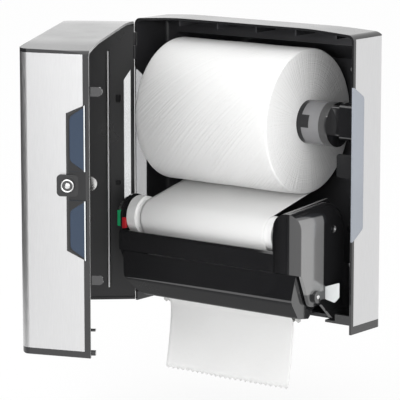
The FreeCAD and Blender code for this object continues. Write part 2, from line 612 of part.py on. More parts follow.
stack("paper_roll", roll_y, roll_z, [("roll_radius", roll_left, roll_right)],
      [("core_radius", roll_left + " - 1", roll_right + " + 1")])
stack("roll_core", roll_y, roll_z, [("core_radius", roll_left, roll_right)],
      [("core_radius - core_wall", roll_left + " - 1", roll_right + " + 1")])
hub_end = "head_at - clearance"
stack("roll_hub_right", roll_y, roll_z,
      [("core_radius - core_wall", roll_right + " - spigot_long", roll_right), ("hub_radius", roll_right, hub_end)],
      [("axle_radius + running", "head_at - axle_long - bore_spare", hub_end + " + 1")])
left_face = "roll_left - hub_gap_left"
stack("roll_hub_left", roll_y, roll_z,
      [("core_radius - core_wall", left_face, roll_left + " + spigot_long")],
      [("axle_radius + running", left_face + " - 1", left_face + " + axle_long + bore_spare")])

arm_mid = "arm_low + arm_tall / 2"


def oblong(inset):
    back, high = "%s + arm_deep / 2 - (%s)" % (roll_y, inset), "arm_low + arm_tall - (%s)" % inset
    return [("%s - arm_deep / 2 + %s" % (roll_y, inset), "arm_low + " + inset, "box_round - (%s) / 2" % inset),
            (back, "arm_low + " + inset, "box_round - (%s) / 2" % inset), (back, high, "box_round - (%s) / 2" % inset),
            ("%s - arm_deep / 2 + %s" % (roll_y, inset), high, "box_round - (%s) / 2" % inset)]


side_in = "width / 2 - wall"
head_end = "head_at + head_thick"
stem_end = side_in + " - wall - slide_range - 1"
holder = body()
pad(holder, "YZ", [oblong("0")], stem_end + " - box_overlap", side_in)
pocket(holder, "YZ", [oblong("box_wall")], stem_end + " - box_overlap - 1", side_in + " - wall")
finish("roll_bracket_right", holder)
head = body()
pad(head, "YZ", [("ring", roll_y, roll_z, "head_radius")], "head_at", head_end)
pad(head, "YZ", [oblong("box_wall + clearance")], head_end, stem_end)
pad(head, "YZ", [("ring", roll_y, roll_z, "axle_radius")], "head_at - axle_long", "head_at")
finish("roll_head_right", head)
holder = body()
left_head = left_face + " - clearance"
pad(holder, "YZ", [oblong("0")], "-(%s)" % side_in, left_head + " - head_thick")
pad(holder, "YZ", [("ring", roll_y, roll_z, "head_radius")], left_head + " - head_thick", left_head)
pad(holder, "YZ", [("ring", roll_y, roll_z, "axle_radius")], left_head, left_face + " + axle_long")
finish("roll_bracket_left", holder)


# feed unit

drum_y, drum_z = "-drum_front", "drum_high"
pivot_y, pivot_z = "-pivot_front", "pivot_high"
floor_top = "floor_high + wall"
face = "-(feed_front - cover_thick)"
right_in = "roll_right + feed_margin_right"
unit_back = band_end + " - 2 * wall"


def leg(back):
    # lower part of a side plate, from the seam down to the pivot and back to the floor
    return [(face, "seam"), (pivot_y + " - leg_front", pivot_z + " - leg_fall", "leg_round"),
            (pivot_y + " + leg_back", pivot_z + " - leg_fall", "leg_heel"),
            ("-back_depth + block_deep", floor_top), (back, floor_top)]


def crest():
    # upper part of a side plate, round the drum
    return [(drum_y + " + side_round", drum_z + " + side_round", "side_round - 0.1"),
            (face, drum_z + " + side_round", "side_round - 0.1")]


plate = body()
pad(plate, "YZ", [leg(unit_back) + [(unit_back, "drum_high - plate_shoulder", "shoulder_round"),
                                     (drum_y + " + side_round", "drum_high", "shoulder_round")] + crest()],
    "-(feed_left + side_thick)", "-feed_left")
pocket(plate, "YZ", [("ring", drum_y, drum_z, "drum_axle_radius + running")], "-(feed_left + side_thick) - 1",
       "-feed_left + 1")
pocket(plate, "YZ", [("ring", pivot_y, pivot_z, "pivot_radius")], "-(feed_left + side_thick) - 1", "-feed_left + 1")
finish("feed_side_left", plate)

plate = body()
gear_back = "-(gearbox_boss_front - gearbox_round)"
pad(plate, "YZ", [[(face, "seam"), (gear_back, "seam"), (gear_back, "drum_high", "leg_round"),
                   (drum_y + " + side_round", "drum_high", "shoulder_round")] + crest()], right_in + " - side_thick", right_in)
pocket(plate, "YZ", [("ring", drum_y, drum_z, "drum_axle_radius + running")], right_in + " - side_thick - 1",
       right_in + " + 1")
finish("feed_side_right", plate)

high = "gearbox_boss_high + gearbox_round"
rise = [("-feed_front", "seam"), ("-feed_front", "gearbox_top")]
halves = []
for corner, first, last in (
        ([(gear_back + " - arch_round", high), (gear_back, "gearbox_boss_high + arch_round / 2")], right_in,
         right_in + " + gearbox_wide / 2"),
        ([(gear_back, high, "gearbox_round - 0.5")], right_in + " + gearbox_wide / 2", "feed_right")):
    half = prism("YZ", [rise + corner + [(gear_back, "seam")]], first, last)
    doc.recompute()
    outer_side = min(abs(vertex.X) for vertex in half.Shape.Vertexes) if not halves else number("feed_right")
    edges = [i + 1 for i, edge in enumerate(half.Shape.Edges) if edge.Curve.TypeId == "Part::GeomLine"
             and abs(edge.Vertexes[0].X - outer_side) + abs(edge.Vertexes[-1].X - outer_side) < 0.1
             and min(edge.Vertexes[0].Z, edge.Vertexes[-1].Z) > number("gearbox_top") - 0.1]
    rounded = doc.addObject("Part::Fillet", "arch")
    rounded.Base = half
    rounded.Edges = [(spot, number("arch_round"), number("arch_round")) for spot in edges]
    halves.append(rounded)
leg_plate = prism("YZ", [leg(gear_back) + [(gear_back, "seam + 1")]], "feed_right - leg_thick", "feed_right")
sink = prism("YZ", [[("-recess_front", "recess_low"), ("-recess_front", "recess_top", "recess_round"),
                     (gear_back + " + recess_back", "recess_top + 1"), (gear_back + " + recess_back", "recess_low")]],
             "feed_right - recess", "feed_right + 1")
boss_y, boss_z = "-gearbox_boss_front", "gearbox_boss_high"
well = rod("X", "well_radius", "feed_right - well_deep", "feed_right + 1", boss_y, boss_z)
screw = rod("X", "screw_radius", "feed_right - well_deep - 1", "feed_right - screw_tall", boss_y, boss_z)
pivot_hole = rod("X", "pivot_radius", "feed_right - leg_thick - 1", "feed_right + 1", pivot_y, pivot_z)
finish("gearbox_case", fuse(cut(fuse(*halves, leg_plate), sink, well, pivot_hole), screw))

cover = body()
pad(cover, "YZ", [[("-feed_front", "seam"), (face, "seam"), (face, "cover_top"),
                   ("-feed_front", "cover_top - cover_slant")]], "-(feed_left + side_thick)", right_in)
pad(cover, "YZ", [[(face + " - 0.5", "cover_top - lip_thick"), ("-cover_lip", "cover_top - lip_thick"),
                   ("-cover_lip", "cover_top"),
                   (face, "cover_top")]], "-feed_left + clearance", right_in + " - side_thick - clearance")
finish("feed_front_cover", cover)

tray = body()
pad(tray, "YZ", [[("-tray_front", floor_top), (unit_back, floor_top), (unit_back, floor_top + " + wall"),
                  ("-tray_front + wall", floor_top + " + wall", "tray_fold_in"),
                  ("-tray_nose_in", "seam - tray_nose_drop"), ("-tray_nose_out", "seam - tray_rim_drop"),
                  ("-tray_front - tray_skirt", floor_top + " + block_deep", "tray_fold_out")]],
    "-feed_left + tray_gap", right_in + " - side_thick")
finish("feed_tray", tray)

blade_left = roll_left + " - blade_reach"


def zigzag(left, low, high, deep, count):
    # straight top edge and a row of teeth along the bottom
    points = [("%s + %s * tooth" % (left, count), high), (left, high), (left, low)]
    for step in range(int(number(count))):
        points.append(("%s + %d.5 * tooth" % (left, step), "%s - %s" % (low, deep)))
        points.append(("%s + %d * tooth" % (left, step + 1), low))
    return points


blade = body()
pad(blade, "XZ", [zigzag(blade_left, floor_top + " - blade_tall", floor_top, "tooth_deep", "tooth_count")],
    "-tray_front - blade_thick", "-tray_front")
finish("tear_blade", blade)

tab = body()
tab_left, tab_edge, tab_top = "-(feed_left + side_thick + tab_wide)", "-(feed_left + side_thick)", "green_low + green_tall"
pad(tab, "XZ", [[(tab_left, "green_low", 1.5), (tab_edge, "green_low"), (tab_edge, tab_top), (tab_left, tab_top, 1.5)]],
    face, face + " + green_deep")
finish("index_tab_green", tab)
tab = body()
tab_top = "red_low + red_tall"
pad(tab, "XZ", [[("-feed_left", "red_low"), ("-feed_left + tab_wide", "red_low", 1),
                 ("-feed_left + tab_wide", tab_top, 1), ("-feed_left", tab_top)]], face, face + " + red_deep")
finish("index_tab_red", tab)
flag = body()
pad(flag, "XZ", [[("feed_right", "flag_low + 3"), ("feed_right + flag_reach - 6", "flag_low", 1),
                  ("feed_right + flag_reach", "flag_low + 7", 1), ("feed_right + flag_reach", "flag_high", 1),
                  ("feed_right", "flag_high - 7")]], "-flag_front", "-flag_front + flag_thick")
finish("guide_flag_right", flag)

drum_left, drum_right = "-(feed_left - drum_end)", roll_right + " + drum_end"
stack("feed_drum", drum_y, drum_z,
      [("flange_radius", drum_left, roll_left + " - flange_gap"), ("drum_radius", roll_left + " - flange_gap", drum_right)],
      [("drum_axle_radius", drum_left + " - 1", drum_right + " + 1")])
wheel_in = "-(feed_left + side_thick + clearance)"
stack("drum_axle", drum_y, drum_z, [("wheel_radius", wheel_in + " - wheel_thick", wheel_in),
                                    ("drum_axle_radius", wheel_in, right_in + " - clearance")])

nip_y, nip_z = "-nip_front", "nip_high"
stack("pinch_roller", nip_y, nip_z,
      [("nip_shaft", "-feed_left + clearance", right_in + " - side_thick - clearance"),
       ("nip_radius", roll_left + " + sleeve_gap", roll_right + " - sleeve_gap")])


# push bar

heel_y = "-(bar_nose_front - heel_back)"
nose = [("-feed_front", "seam - bar_gap"), ("-bar_nose_front", "bar_nose_high", "nose_round"),
        (heel_y, "bar_low + heel_rise", "heel_round")]
shell = prism("YZ", [nose + [("-heel_front", "bar_low - heel_fall"), ("-heel_front", "bar_low + heel_rise"),
                             (heel_y + " + bar_inset", "bar_low + bar_floor", "heel_round - bar_wall"),
                             ("-bar_nose_front + bar_nose_in", "bar_nose_high + bar_nose_rise", "nose_round - bar_wall"),
                             (face, "seam - bar_gap")]], "-bar_left_end", "bar_end")
cheeks = []
for first, last in (("-bar_left_end", "-bar_left_end + bar_wall"), ("bar_end - bar_wall", "bar_end")):
    cheeks.append(prism("YZ", [nose + [("-heel_front", "bar_low - heel_fall", "heel_corner"),
                                       (pivot_y + " + cheek_back", pivot_z + " - cheek_low", "cheek_round"),
                                       (pivot_y + " + cheek_back", pivot_z + " + cheek_back", "cheek_round"),
                                       ("-cheek_front", "seam - bar_gap")]], first, last))
corner = prism("XZ", [[("-bar_left_end - cut_bend", "cut_low / 2"), ("-bar_left_end + cut_reach", "cut_low / 2"),
                       ("-bar_left_end + cut_reach", "cut_low"), ("-bar_left_end + cut_bend", "cut_mid", "cut_round"),
                       ("-bar_left_end + cut_rise", "cut_high", "cut_bow"), ("-bar_left_end", "seam - bar_gap"),
                       ("-bar_left_end - cut_bend", "seam - bar_gap")]], "-bar_nose_front - wall", "-cut_back")
finish("lever_bar", cut(fuse(shell, *cheeks), corner,
                        rod("X", "pivot_radius + running", "-bar_left_end - 1", "bar_end + 1", pivot_y, pivot_z)))
stack("lever_pin_right", pivot_y, pivot_z, [("pivot_radius", "bar_end - bar_wall - 1", "feed_right"),
                                            ("pivot_head", "feed_right", "feed_right + head_proud")])
stack("lever_pin_left", pivot_y, pivot_z, [("pivot_radius", "-(feed_left + side_thick)", "-bar_left_end + bar_wall + 1")])


# paper between the roll, the drum and the open end

roll_mid, drum_mid = Vector(number(roll_y), number(roll_z)), Vector(number(drum_y), number(drum_z))
leave = Vector(-number("exit_front"), number("exit_high"))


def heading(vector):
    return atan2(vector.y, vector.x)


def towards(angle, length=1.0):
    return Vector(cos(angle) * length, sin(angle) * length)


def meet(first, along, second, across):
    # where two straight runs cross
    scale = (second - first).cross(across).z / along.cross(across).z
    return first + along * scale


span = roll_mid - drum_mid
reach = number("roll_radius + clearance + drum_radius + paper_gap + paper")
upper = heading(span) + acos(reach / span.Length)


def sheet_side(radius):
    # one face of the paper: roll, round the drum, open end
    lower = heading(leave - drum_mid) - acos(radius / (leave - drum_mid).Length)
    first, last = drum_mid + towards(upper, radius), drum_mid + towards(lower, radius)
    begin = roll_mid - towards(upper, number("roll_radius + clearance + drum_radius + paper_gap + paper") - radius)
    tip = meet(begin, first - begin, last, leave - last)
    return begin, tip, last


inner, outer = number("drum_radius + paper_gap"), number("drum_radius + paper_gap + paper")
(a0, a1, a2), (b0, b1, b2) = sheet_side(inner), sheet_side(outer)
thick = number("paper")
run = (leave - a2).normalize()
aside = Vector(run.y, -run.x) * thick
web = prism("YZ", [[(a0.x, a0.y), (b0.x, b0.y), (b1.x, b1.y, "drum_radius + paper_gap + paper"),
                    (leave.x + aside.x, leave.y + aside.y), (leave.x, leave.y),
                    (a1.x, a1.y, "drum_radius + paper_gap")]], roll_left + " + web_margin", roll_right + " - web_margin")
finish("paper_web", web)
turn = leave + run * number("fold_run")
drop = Vector(-number("tail_front"), number("tail_low"))
fall = (drop - turn).normalize()
across = Vector(fall.y, -fall.x) * thick
near = meet(leave + aside, run, drop + across, fall)
hanging = prism("YZ", [[(leave.x, leave.y), (leave.x + aside.x, leave.y + aside.y), (near.x, near.y, "fold_round - paper"),
                        (drop.x + across.x, drop.y + across.y), (drop.x, drop.y),
                        (turn.x, turn.y, "fold_round")]], roll_left, roll_right)
edge = prism("XZ", [zigzag(roll_left + " + tail_margin", "tail_low + 4", "exit_high + 5", "tooth_deep", "tail_teeth")],
             "-feed_front", "-floor_open_back")
finish("paper_tail", common(hanging, edge))


# checks and files

doc.recompute()
for item in doc.Objects:
    if "Invalid" in item.State or "Error" in item.State:
        raise RuntimeError("%s did not build" % item.Label)
os.makedirs("parts", exist_ok=True)
for label, piece in pieces.items():
    solid = piece.Shape
    if solid.isNull() or not solid.isValid() or solid.Volume <= 0:
        raise RuntimeError("%s has no sound solid" % label)
    solid.exportStep("parts/%s.step" % label)
    print(label, len(solid.Solids), round(solid.Volume), solid.BoundBox)
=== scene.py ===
import json
import math
import bmesh
import bpy
from mathutils import Matrix, Vector


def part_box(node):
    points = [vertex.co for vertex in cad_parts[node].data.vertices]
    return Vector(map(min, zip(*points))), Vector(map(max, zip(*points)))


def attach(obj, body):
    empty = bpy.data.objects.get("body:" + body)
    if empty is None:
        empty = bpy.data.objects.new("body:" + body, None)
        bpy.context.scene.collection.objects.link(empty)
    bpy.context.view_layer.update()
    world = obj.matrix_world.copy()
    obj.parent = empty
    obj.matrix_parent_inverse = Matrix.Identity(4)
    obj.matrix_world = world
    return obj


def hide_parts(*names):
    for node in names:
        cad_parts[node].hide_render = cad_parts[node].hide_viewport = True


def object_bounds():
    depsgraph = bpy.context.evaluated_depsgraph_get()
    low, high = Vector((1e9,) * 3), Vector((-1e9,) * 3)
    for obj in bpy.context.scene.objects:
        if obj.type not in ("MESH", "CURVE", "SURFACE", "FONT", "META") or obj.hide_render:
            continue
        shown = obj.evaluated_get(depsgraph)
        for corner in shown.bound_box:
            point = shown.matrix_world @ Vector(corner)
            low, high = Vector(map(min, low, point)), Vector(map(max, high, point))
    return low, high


# Roll towel dispenser for a wall, its door swung open beside the roll and the feed unit.
# Metres throughout; the origin is the middle of the wall screws.

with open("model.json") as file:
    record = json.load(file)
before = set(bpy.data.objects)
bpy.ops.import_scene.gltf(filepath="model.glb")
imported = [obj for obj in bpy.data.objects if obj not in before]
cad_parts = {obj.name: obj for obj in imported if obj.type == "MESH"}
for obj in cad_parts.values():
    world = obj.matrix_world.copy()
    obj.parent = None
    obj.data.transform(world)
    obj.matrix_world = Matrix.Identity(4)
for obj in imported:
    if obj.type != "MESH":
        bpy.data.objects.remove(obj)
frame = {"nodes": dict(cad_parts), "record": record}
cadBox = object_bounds()
nodes = frame["nodes"]
print("dispenser: frame loaded,", len(nodes), "nodes")


# material helpers

def newMaterial(name, colour, roughness, metallic=0.0):
    material = bpy.data.materials.new(name)
    material.use_nodes = True
    shader = material.node_tree.nodes["Principled BSDF"]
    shader.inputs["Base Color"].default_value = (*colour, 1)
    shader.inputs["Roughness"].default_value = roughness
    shader.inputs["Metallic"].default_value = metallic
    return material, material.node_tree, shader


def objectPlace(tree, scale=(1, 1, 1), location=(0, 0, 0)):
    place = tree.nodes.new("ShaderNodeTexCoord")
    mapping = tree.nodes.new("ShaderNodeMapping")
    mapping.inputs["Scale"].default_value = scale
    mapping.inputs["Location"].default_value = location
    tree.links.new(place.outputs["Object"], mapping.inputs["Vector"])
    return mapping.outputs["Vector"]


def noise(tree, where, scale, detail=2.0, rough=0.5):
    texture = tree.nodes.new("ShaderNodeTexNoise")
    texture.inputs["Scale"].default_value = scale
    texture.inputs["Detail"].default_value = detail
    texture.inputs["Roughness"].default_value = rough
    tree.links.new(where, texture.inputs["Vector"])
    return texture.outputs["Fac"]


def lineNoise(tree, along, scale, detail):
    # noise that changes with one value only
    texture = tree.nodes.new("ShaderNodeTexNoise")
    texture.noise_dimensions = "1D"
    texture.inputs["Scale"].default_value = scale
    texture.inputs["Detail"].default_value = detail
    tree.links.new(along, texture.inputs["W"])
    return texture.outputs["Fac"]


def spread(tree, value, low, high, fromLow=0.0, fromHigh=1.0):
    remap = tree.nodes.new("ShaderNodeMapRange")
    remap.inputs["From Min"].default_value = fromLow
    remap.inputs["From Max"].default_value = fromHigh
    remap.inputs["To Min"].default_value = low
    remap.inputs["To Max"].default_value = high
    tree.links.new(value, remap.inputs["Value"])
    return remap.outputs["Result"]


def maths(tree, operation, *terms):
    # each term is a number or the output of another node
    node = tree.nodes.new("ShaderNodeMath")
    node.operation = operation
    for socket, term in zip(node.inputs, terms):
        if isinstance(term, bpy.types.NodeSocket):
            tree.links.new(term, socket)
        else:
            socket.default_value = term
    return node.outputs[0]


def times(colour, share):
    return tuple(share * c for c in colour)


def tint(tree, value, dark, light):
    blend = tree.nodes.new("ShaderNodeMix")
    blend.data_type = "RGBA"
    blend.inputs["A"].default_value = (*dark, 1)
    blend.inputs["B"].default_value = (*light, 1)
    tree.links.new(value, blend.inputs["Factor"])
    return blend.outputs["Result"]


def shades(tree, value, colour, shares):
    return tint(tree, value, *(times(colour, share) for share in shares))


def relief(tree, shader, height, strength, distance):
    bump = tree.nodes.new("ShaderNodeBump")
    bump.inputs["Strength"].default_value = strength
    bump.inputs["Distance"].default_value = distance
    tree.links.new(height, bump.inputs["Height"])
    tree.links.new(bump.outputs["Normal"], shader.inputs["Normal"])
    return bump.outputs["Normal"]


# finishes: colours, roughness, scales of the noise and depth of the relief

noiseRange = (0.3, 0.7)
steel = {"colour": (0.72, 0.72, 0.725), "rough": 0.32, "roughRange": (0.28, 0.42), "shades": (0.93, 1.06),
         "grain": 900, "stretch": 14, "fine": 60, "fineStretch": (40, 40, 1.5), "strength": 0.08, "deep": 0.0002}
black = {"colour": (0.012, 0.012, 0.013), "dark": (0.009, 0.009, 0.01), "light": (0.017, 0.017, 0.018),
         "gloss": 0.12, "shell": 0.2, "matt": 0.32, "roughShares": (0.8, 1.25), "clouds": 14,
         "fineSkin": 1400, "broadSkin": 90, "fineFrom": 0.1, "deep": 0.0003, "coatRough": 0.6, "coatIor": 1.6}
plain = {"shades": (0.9, 1.06), "clouds": 60, "strength": 0.08, "deep": 0.0004}
metal = {"roughShares": (0.6, 1.6), "strength": 0.05, "deep": 0.0001}
pane = {"dark": (0.035, 0.058, 0.1), "side": (0.35, 0.375, 0.42), "grey": (0.62, 0.62, 0.63),
        "pale": (0.9, 0.91, 0.92), "shades": (0.85, 1.15), "rough": 0.14, "clouds": 9, "skin": 700, "ior": 1.45,
        "strength": 0.04, "deep": 0.0002}
towel = {"colour": (0.845, 0.845, 0.84), "shades": (0.955, 1), "rough": 0.9, "cells": 260, "cellHigh": 0.5,
         "cellTo": 0.6, "fibre": 900, "clouds": 26, "cloudStretch": (1, 1, 2.2), "cloudHigh": 1.4,
         "creases": 240, "creaseHigh": 1.2, "creaseRange": (0.35, 0.65), "turns": 700, "turnHigh": 1.3,
         "strength": 0.35, "deep": 0.0006, "sheen": 0.15, "shine": 0.2}


def brushedSteel():
    material, tree, shader = newMaterial("brushedSteel", steel["colour"], steel["rough"], 1.0)
    stretch = steel["stretch"]
    grain = noise(tree, objectPlace(tree, (stretch, stretch, 1)), steel["grain"] / stretch, 3, 0.6)
    fine = noise(tree, objectPlace(tree, steel["fineStretch"]), steel["fine"], 2, 0.6)
    tree.links.new(shades(tree, grain, steel["colour"], steel["shades"]), shader.inputs["Base Color"])
    tree.links.new(spread(tree, fine, *steel["roughRange"], *noiseRange), shader.inputs["Roughness"])
    relief(tree, shader, grain, steel["strength"], steel["deep"])
    return material


def mouldedBlack(name, roughness, texture, coat=0.0, shine=0.5, pale=1):
    # moulded plastic: skin texture, a little uneven gloss; pale above one lightens the colour, which is painted
    # light
    material, tree, shader = newMaterial(name, black["colour"], roughness)
    where = objectPlace(tree)
    skin = noise(tree, where, black["fineSkin"] if texture > black["fineFrom"] else black["broadSkin"])
    cloud = noise(tree, where, black["clouds"], 3, 0.55)
    colour = tint(tree, cloud, times(black["dark"], pale), times(black["light"], pale))
    tree.links.new(colour, shader.inputs["Base Color"])
    tree.links.new(spread(tree, cloud, *times(black["roughShares"], roughness), *noiseRange),
                   shader.inputs["Roughness"])
    relief(tree, shader, skin, texture, black["deep"])
    shader.inputs["Specular IOR Level"].default_value = shine
    shader.inputs["Coat Weight"].default_value = coat
    shader.inputs["Coat Roughness"].default_value = roughness * black["coatRough"]
    shader.inputs["Coat IOR"].default_value = black["coatIor"]
    return material


def within(tree, value, low, high):
    # one between the two values, zero outside
    soft = gearReflectionAndBow["soft"]
    rising = spread(tree, value, 0, 1, low - soft, low + soft)
    falling = spread(tree, value, 1, 0, high - soft, high + soft)
    return maths(tree, "MULTIPLY", rising, falling)


def gearboxBlack():
    # black gloss whose outer side and corner get a painted reflection: a lighter grey in the base colour
    material = mouldedBlack("gearboxBlack", black["gloss"], 0.03, coat=1.0, shine=0.6)
    tree = material.node_tree
    shader = tree.nodes["Principled BSDF"]
    apart = tree.nodes.new("ShaderNodeSeparateXYZ")
    tree.links.new(objectPlace(tree), apart.inputs[0])
    # mask of the painted reflection on the side and corner
    paintedReflection = maths(tree, "MULTIPLY", within(tree, apart.outputs["Y"], *gearReflectionAndBow["y"]),
                  within(tree, apart.outputs["Z"], *gearReflectionAndBow["z"]))
    blend = tree.nodes.new("ShaderNodeMix")
    blend.data_type = "RGBA"
    blend.inputs["B"].default_value = (gearReflectionAndBow["grey"],) * 3 + (1,)
    tree.links.new(paintedReflection, blend.inputs["Factor"])
    tree.links.new(shader.inputs["Base Color"].links[0].from_socket, blend.inputs["A"])
    tree.links.new(blend.outputs["Result"], shader.inputs["Base Color"])
    # the front bows out a little between its sides
    offMiddle = maths(tree, "SUBTRACT", apart.outputs["X"], gearReflectionAndBow["middle"])
    square = maths(tree, "MULTIPLY", offMiddle, offMiddle)
    bowed = relief(tree, shader, maths(tree, "MULTIPLY", square, -0.5 / gearReflectionAndBow["bow"]), 1.0, 1.0)
    tree.links.new(bowed, shader.inputs["Coat Normal"])
    return material


def plainPlastic(name, colour, roughness):
    material, tree, shader = newMaterial(name, colour, roughness)
    cloud = noise(tree, objectPlace(tree), plain["clouds"], 3)
    tree.links.new(shades(tree, cloud, colour, plain["shades"]), shader.inputs["Base Color"])
    relief(tree, shader, cloud, plain["strength"], plain["deep"])
    return material


def brightMetal(name, colour, roughness, scale):
    material, tree, shader = newMaterial(name, colour, roughness, 1.0)
    marks = noise(tree, objectPlace(tree), scale, 4, 0.6)
    tree.links.new(spread(tree, marks, *times(metal["roughShares"], roughness), *noiseRange),
                   shader.inputs["Roughness"])
    relief(tree, shader, marks, metal["strength"], metal["deep"])
    return material


def smokedWindow(name, colour, clear):
    # tinted pane: a little milky, with a soft gloss
    material, tree, shader = newMaterial(name, colour, pane["rough"])
    cloud = noise(tree, objectPlace(tree), pane["clouds"])
    tree.links.new(shades(tree, cloud, colour, pane["shades"]), shader.inputs["Base Color"])
    shader.inputs["Transmission Weight"].default_value = clear
    shader.inputs["IOR"].default_value = pane["ior"]
    relief(tree, shader, noise(tree, objectPlace(tree), pane["skin"]), pane["strength"], pane["deep"])
    return material


def towelPaper(name, axis=None):
    # soft embossed paper; on a roll it has creases too, and shows its turns at the ends
    material, tree, shader = newMaterial(name, towel["colour"], towel["rough"])
    where = objectPlace(tree)
    cells = tree.nodes.new("ShaderNodeTexVoronoi")
    cells.inputs["Scale"].default_value = towel["cells"]
    tree.links.new(where, cells.inputs["Vector"])
    fibre = noise(tree, where, towel["fibre"], 4, 0.7)
    cloud = noise(tree, objectPlace(tree, towel["cloudStretch"]), towel["clouds"], 3, 0.6)
    height = maths(tree, "ADD", spread(tree, cells.outputs["Distance"], 0, towel["cellHigh"], 0, towel["cellTo"]),
                   spread(tree, cloud, 0, towel["cloudHigh"]))
    if axis:
        offAxis = (0, -axis[0], -axis[1])
        # slanting creases that run round the roll
        apart = tree.nodes.new("ShaderNodeSeparateXYZ")
        tree.links.new(objectPlace(tree, location=offAxis), apart.inputs[0])
        angle = maths(tree, "ARCTAN2", apart.outputs["Z"], apart.outputs["Y"])
        slant = maths(tree, "MULTIPLY_ADD", angle, rollRadius, apart.outputs["X"])
        crease = lineNoise(tree, slant, towel["creases"], 1)
        height = maths(tree, "ADD", height, spread(tree, crease, 0, towel["creaseHigh"], *towel["creaseRange"]))
        # the turns, by the distance from the roll's axis
        length = tree.nodes.new("ShaderNodeVectorMath")
        length.operation = "LENGTH"
        tree.links.new(objectPlace(tree, (0, 1, 1), offAxis), length.inputs[0])
        layer = lineNoise(tree, length.outputs["Value"], towel["turns"], 3)
        height = maths(tree, "ADD", height, spread(tree, layer, 0, towel["turnHigh"], *noiseRange))
    tree.links.new(shades(tree, fibre, towel["colour"], towel["shades"]), shader.inputs["Base Color"])
    relief(tree, shader, height, towel["strength"], towel["deep"])
    shader.inputs["Sheen Weight"].default_value = towel["sheen"]
    shader.inputs["Specular IOR Level"].default_value = towel["shine"]
    return material


def sideMiddle(box):
    # middle of a box in the side view
    return (box[0][1] + box[1][1]) / 2, (box[0][2] + box[1][2]) / 2


rollBox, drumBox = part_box("paper_roll"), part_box("feed_drum")
rollAxis = sideMiddle(rollBox)
rollRadius = (rollBox[1][1] - rollBox[0][1]) / 2
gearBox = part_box("gearbox_case")
# where the gearbox side and corner get their painted reflection, its grey and soft edge, and where the front bows
# out
gearReflectionAndBow = {"y": (gearBox[0][1] + 0.0012, -0.146), "z": (cadBox[0][2] + 0.142, cadBox[0][2] + 0.238),
             "grey": 0.18, "soft": 0.0008, "middle": gearBox[0][0] + 0.021, "bow": 0.035}
steelFinish = brushedSteel()
glossBlack = mouldedBlack("glossBlack", black["gloss"], 0.03, coat=0.9, shine=0.6)
mattBlack = mouldedBlack("mattBlack", black["matt"], 0.14)
shellBlack = mouldedBlack("shellBlack", black["shell"], 0.05, coat=0.5)
innerBlack = mouldedBlack("innerBlack", black["matt"], 0.12, shine=0.45)
underBlack = mouldedBlack("underBlack", black["matt"], 0.12, shine=0.15)
# the bay's inside: the same black three times paler, painted light standing in for light in the shaded bay
bayBlackPaintedLight = mouldedBlack("bayBlackPaintedLight", black["matt"], 0.12, pale=3)
hubGrey = plainPlastic("hubGrey", (0.2, 0.2, 0.205), 0.22)
rimGrey = plainPlastic("rimGrey", (0.42, 0.42, 0.42), 0.3)
# light grey on one rib face inside the door: a painted highlight along the inner edge
ribPaintedHighlight = plainPlastic("ribPaintedHighlight", (0.75, 0.75, 0.75), 0.3)
windowFinish = smokedWindow("smokedWindow", pane["dark"], clear=0.3)
sideWindow = smokedWindow("sideWindow", pane["side"], clear=0.15)
greyWindow = smokedWindow("greyWindow", pane["grey"], clear=0.85)
paleWindow = smokedWindow("paleWindow", pane["pale"], clear=0.85)
brightSteel = brightMetal("brightSteel", (0.62, 0.62, 0.61), 0.28, scale=160)
lockChrome = brightMetal("lockChrome", (0.78, 0.78, 0.78), 0.09, scale=60)
rollPaper = towelPaper("rollPaper", rollAxis)
webPaper = towelPaper("webPaper")
cardFinish = plainPlastic("coreCard", (0.42, 0.31, 0.2), 0.85)
whitePlastic = plainPlastic("whitePlastic", (0.93, 0.93, 0.925), 0.3)
greyRubber = plainPlastic("greyRubber", (0.28, 0.28, 0.28), 0.6)
greenTab = plainPlastic("greenTab", (0.02, 0.42, 0.16), 0.25)
redTab = plainPlastic("redTab", (0.55, 0.02, 0.03), 0.3)
frostedClear = plainPlastic("frostedClear", (0.72, 0.74, 0.74), 0.25)

slotFinish = {
    "black_plastic": mattBlack, "black_gloss": glossBlack, "steel": steelFinish, "window": windowFinish,
    "bright_steel": brightSteel, "lock_chrome": lockChrome, "towel": webPaper, "card": cardFinish,
    "white_plastic": whitePlastic, "grey_rubber": greyRubber, "green_plastic": greenTab,
    "red_plastic": redTab, "clear_plastic": frostedClear,
}
nodeFinish = {
    "housing_shell": shellBlack, "door_shell": shellBlack, "side_window_right": sideWindow,
    "side_window_left": greyWindow, "door_window_hinge": paleWindow, "lever_bar": glossBlack,
    "feed_side_left": glossBlack, "gearbox_case": gearboxBlack(), "lock_cylinder": glossBlack,
    "lock_plate": innerBlack, "lock_escutcheon": innerBlack,
    "roll_hub_right": hubGrey, "roll_bracket_right": glossBlack, "lever_pin_right": glossBlack,
}
for part in frame["record"]["subparts"]:
    mesh = nodes[part["node"]].data
    mesh.materials.clear()
    mesh.materials.append(nodeFinish.get(part["node"], slotFinish[part["material_slot"]]))


# the door: its hinge, how far it stands open, and its free side, which leans in towards the front
door = {"hinge": Vector((-0.175, -0.126, 0)), "swing": math.radians(60), "lean": 18 / 89, "side": 0.175}


def turned(point, angle):
    # the same point after the door swings; its full swing shuts it
    return Matrix.Rotation(angle, 3, "Z") @ (point - door["hinge"]) + door["hinge"]


def refinish(nodeName, material, chosen, shut=False):
    # gives the faces that pass the test another finish; shut tests them as they lie when the door is shut
    mesh = nodes[nodeName].data
    mesh.materials.append(material)
    turn = Matrix.Rotation(door["swing"], 3, "Z")
    for face in mesh.polygons:
        centre, normal = face.center.copy(), face.normal.copy()
        if shut:
            centre, normal = turned(centre, door["swing"]), turn @ normal
        if chosen(centre, normal):
            face.material_index = len(mesh.materials) - 1


